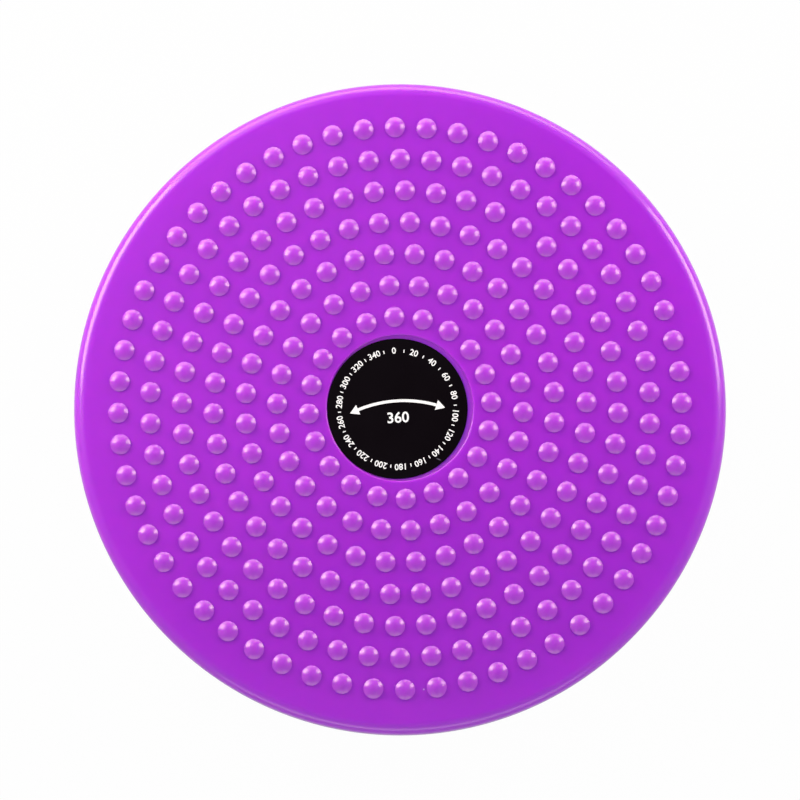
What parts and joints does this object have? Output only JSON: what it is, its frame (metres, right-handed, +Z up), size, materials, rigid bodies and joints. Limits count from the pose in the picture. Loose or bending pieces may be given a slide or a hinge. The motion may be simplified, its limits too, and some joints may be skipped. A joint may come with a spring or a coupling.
{
  "type": "waist twisting disc",
  "caption": "Round purple standing disc with rings of massage nubs, turning on a caged ball ring over a fixed base with rubber pads.",
  "frame": {"origin": "on the floor under the pivot, level with the bottoms of the rubber pads", "axes": "+Z up along the pivot; +X to the right and +Y to the top of the picture, which looks down on the disc"},
  "size_m": [0.25, 0.25, 0.029],
  "materials": {
    "purple_plastic": "glossy moulded plastic",
    "black_label": "printed film, satin",
    "zinc_steel": "zinc plated",
    "polished_steel": "polished",
    "white_nylon": "satin moulded nylon",
    "black_rubber": "matt"
  },
  "bodies": {
    "base": {"base_plate": "purple_plastic", "rubber_pad_1": "black_rubber", "rubber_pad_2": "black_rubber", "rubber_pad_3": "black_rubber", "rubber_pad_4": "black_rubber", "rubber_pad_5": "black_rubber", "rubber_pad_6": "black_rubber", "pivot_bolt": "zinc_steel", "head_washer": "zinc_steel", "glide_washer": "white_nylon", "nut_washer": "zinc_steel", "lock_nut": "zinc_steel"},
    "platform": {"top_plate": "purple_plastic", "centre_label": "black_label"},
    "ball_ring": {"ball_cage": "white_nylon", "steel_ball_01": "polished_steel", "steel_ball_02": "polished_steel", "steel_ball_03": "polished_steel", "steel_ball_04": "polished_steel", "steel_ball_05": "polished_steel", "steel_ball_06": "polished_steel", "steel_ball_07": "polished_steel", "steel_ball_08": "polished_steel", "steel_ball_09": "polished_steel", "steel_ball_10": "polished_steel", "steel_ball_11": "polished_steel", "steel_ball_12": "polished_steel", "steel_ball_13": "polished_steel", "steel_ball_14": "polished_steel", "steel_ball_15": "polished_steel", "steel_ball_16": "polished_steel", "steel_ball_17": "polished_steel", "steel_ball_18": "polished_steel", "steel_ball_19": "polished_steel", "steel_ball_20": "polished_steel"}
  },
  "joints": [
    {"name": "platform_spin", "type": "hinge", "parent": "base", "child": "platform", "pos_m": [0, 0, 0.02], "axis": [0, 0, 1], "continuous": true},
    {"name": "ball_ring_spin", "type": "hinge", "parent": "base", "child": "ball_ring", "pos_m": [0, 0, 0.02], "axis": [0, 0, 1], "continuous": true}
  ],
  "couplings": [
    {"joint": "ball_ring_spin", "follows": "platform_spin", "ratio": 0.5}
  ]
}
